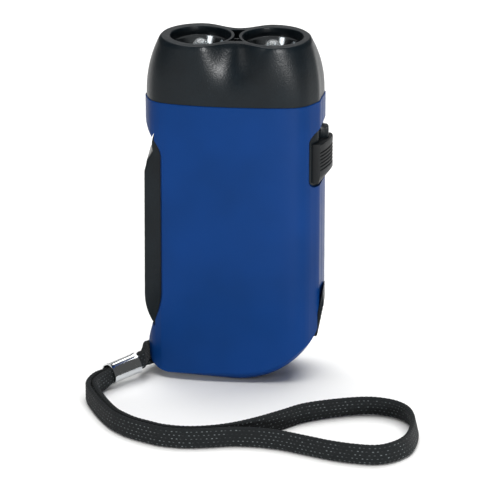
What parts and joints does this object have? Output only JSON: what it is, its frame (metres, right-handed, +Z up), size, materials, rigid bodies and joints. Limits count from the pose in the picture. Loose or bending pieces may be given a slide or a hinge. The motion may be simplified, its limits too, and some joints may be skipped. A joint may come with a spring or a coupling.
{
  "type": "hand-press dynamo flashlight",
  "caption": "Pocket flashlight with a side lever that is squeezed to turn a small generator, paired lamps on top, a sliding switch, a lever lock and a wrist strap.",
  "frame": {"origin": "Middle of the casing's width and depth, on the flat foot under the casing.", "axes": "+Z runs up to the lamps, +X runs from the lever to the switch, -Y faces the front."},
  "size_m": [0.0981, 0.0821, 0.1043],
  "materials": {
    "blue_plastic": "satin gloss",
    "black_plastic": "fine grained satin",
    "reflector_chrome": "mirror coating",
    "led_lens": "clear epoxy",
    "circuit_board": "solder mask",
    "steel": "plain",
    "brass": "turned",
    "white_plastic": "moulded",
    "stator_iron": "dark",
    "copper_wire": "enamelled",
    "component_black": "moulded",
    "strap_webbing": "woven with pale flecks",
    "crimp_chrome": "bright"
  },
  "bodies": {
    "casing": {"front_shell": "blue_plastic", "rear_shell": "blue_plastic", "lamp_head": "black_plastic", "reflector_left": "reflector_chrome", "reflector_right": "reflector_chrome", "led_left": "led_lens", "led_right": "led_lens", "led_board": "circuit_board", "led_board_screws": "steel", "switch_bezel": "black_plastic", "switch_body": "steel", "gear_frame": "steel", "frame_screws": "steel", "gear_shaft": "steel", "lever_pin": "steel", "lever_spring": "steel", "rotor_bushes": "brass", "stator_core": "stator_iron", "coil_bobbin": "white_plastic", "stator_coil": "copper_wire", "control_board": "circuit_board", "board_screws": "steel", "rectifier_diodes": "component_black", "smoothing_capacitor": "component_black", "button_cells": "steel", "casing_screws": "steel", "strap_bar": "steel", "strap_band": "strap_webbing", "strap_crimp": "crimp_chrome"},
    "lever": {"squeeze_lever": "black_plastic", "sector_gear": "steel", "sector_rivets": "steel"},
    "drive_gear": {"drive_pinion": "brass", "main_gear": "white_plastic"},
    "rotor": {"rotor_shaft": "steel", "rotor_pinion": "brass", "flywheel": "brass", "ring_magnet": "stator_iron"},
    "switch": {"switch_slider": "black_plastic"},
    "lock": {"lock_slide": "black_plastic"}
  },
  "joints": [
    {"name": "lever_hinge", "type": "hinge", "parent": "casing", "child": "lever", "pos_m": [-0.017, 0, 0.072], "axis": [0, 1, 0], "range_deg": [0, 20], "deforming": ["lever_spring"]},
    {"name": "drive_spin", "type": "hinge", "parent": "casing", "child": "drive_gear", "pos_m": [0.001, 0, 0.05055], "axis": [0, 1, 0], "range_deg": [-120, 0]},
    {"name": "rotor_spin", "type": "hinge", "parent": "casing", "child": "rotor", "pos_m": [0.00698, 0, 0.03411], "axis": [0, 1, 0], "range_deg": [0, 720]},
    {"name": "switch_slide", "type": "slide", "parent": "casing", "child": "switch", "axis": [0, 0, 1], "range_m": [0, 0.003]},
    {"name": "lock_slide_move", "type": "slide", "parent": "casing", "child": "lock", "axis": [0.1908, 0, 0.9816], "range_m": [0, 0.003]}
  ],
  "couplings": [
    {"joint": "drive_spin", "follows": "lever_hinge", "ratio": -6},
    {"joint": "rotor_spin", "follows": "lever_hinge", "ratio": 36}
  ]
}
